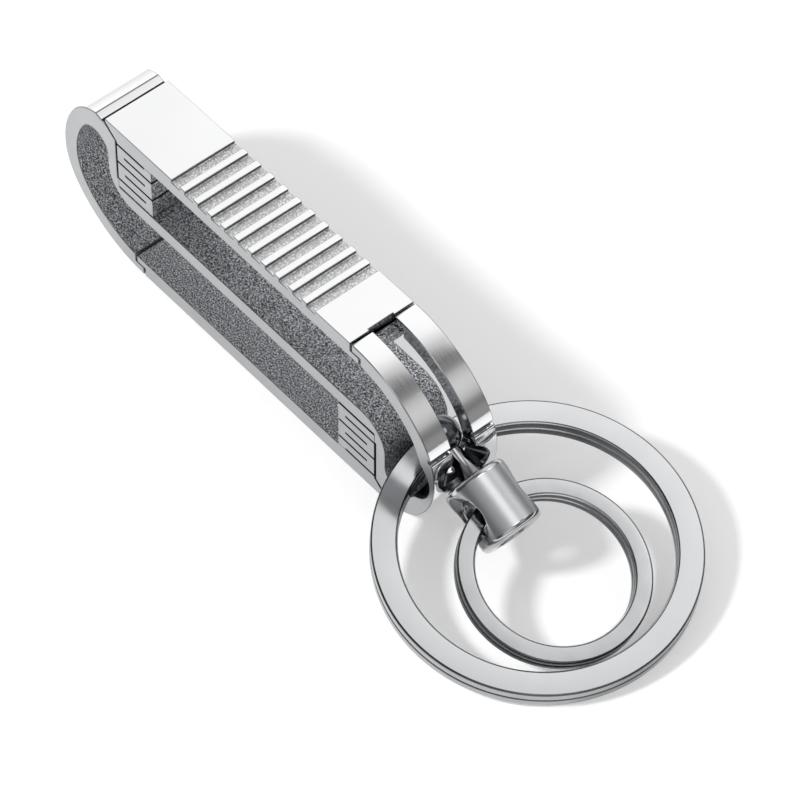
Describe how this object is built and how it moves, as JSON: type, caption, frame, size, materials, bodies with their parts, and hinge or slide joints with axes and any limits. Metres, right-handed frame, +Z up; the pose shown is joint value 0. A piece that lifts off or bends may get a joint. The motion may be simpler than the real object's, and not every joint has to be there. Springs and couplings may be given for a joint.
{
  "type": "belt key clip",
  "caption": "Polished titanium belt key clip with sprung upper and lower gates, a slotted nose with a flat split ring, and a swivel that carries a smaller split ring.",
  "frame": {"origin": "middle of the clip's underside, the outer face of the belt gate that it stands on", "axes": "+X along the clip towards the nose and the rings, +Y across its width, +Z up"},
  "size_m": [0.0897, 0.0352, 0.021],
  "materials": {
    "clip_titanium": "satin polished",
    "blasted_titanium": "bead blasted",
    "mirror_titanium": "mirror polished",
    "ring_titanium": "satin polished"
  },
  "bodies": {
    "frame": {"clip_frame": "clip_titanium", "key_gate_spring": "clip_titanium", "belt_gate_spring": "clip_titanium"},
    "key_gate": {"key_gate": "clip_titanium"},
    "belt_gate": {"belt_gate": "clip_titanium"},
    "large_ring": {"large_split_ring": "ring_titanium"},
    "stem": {"swivel_ball": "mirror_titanium", "swivel_rivet": "mirror_titanium"},
    "barrel": {"swivel_barrel": "mirror_titanium"},
    "small_ring": {"small_split_ring": "ring_titanium"}
  },
  "joints": [
    {"name": "key_gate_open", "type": "hinge", "parent": "frame", "child": "key_gate", "pos_m": [-0.01856, 0, 0.01508], "axis": [0, 1, 0], "range_deg": [0, 4.5], "stiffness_Nm_per_rad": 3, "deforming": ["key_gate_spring"]},
    {"name": "belt_gate_open", "type": "hinge", "parent": "frame", "child": "belt_gate", "pos_m": [0.01856, 0, 0.00592], "axis": [0, 1, 0], "range_deg": [0, 4.5], "stiffness_Nm_per_rad": 3, "deforming": ["belt_gate_spring"]},
    {"name": "large_ring_swing", "type": "hinge", "parent": "frame", "child": "large_ring", "pos_m": [0.02504, 0.00138, 0.00635], "axis": [0, -0.9988, -0.0489], "range_deg": [-20, 90]},
    {"name": "stem_travel", "type": "hinge", "parent": "frame", "child": "stem", "pos_m": [0.0219, 0, 0.01], "axis": [0, -1, 0], "range_deg": [0, 40]},
    {"name": "barrel_turn", "type": "hinge", "parent": "stem", "child": "barrel", "pos_m": [0.02722, 0, 0.01129], "axis": [0.9078, 0, -0.4195], "continuous": true},
    {"name": "small_ring_swing", "type": "hinge", "parent": "barrel", "child": "small_ring", "pos_m": [0.03562, 0, 0.00741], "axis": [0, -1, 0], "range_deg": [-30, 70]}
  ]
}
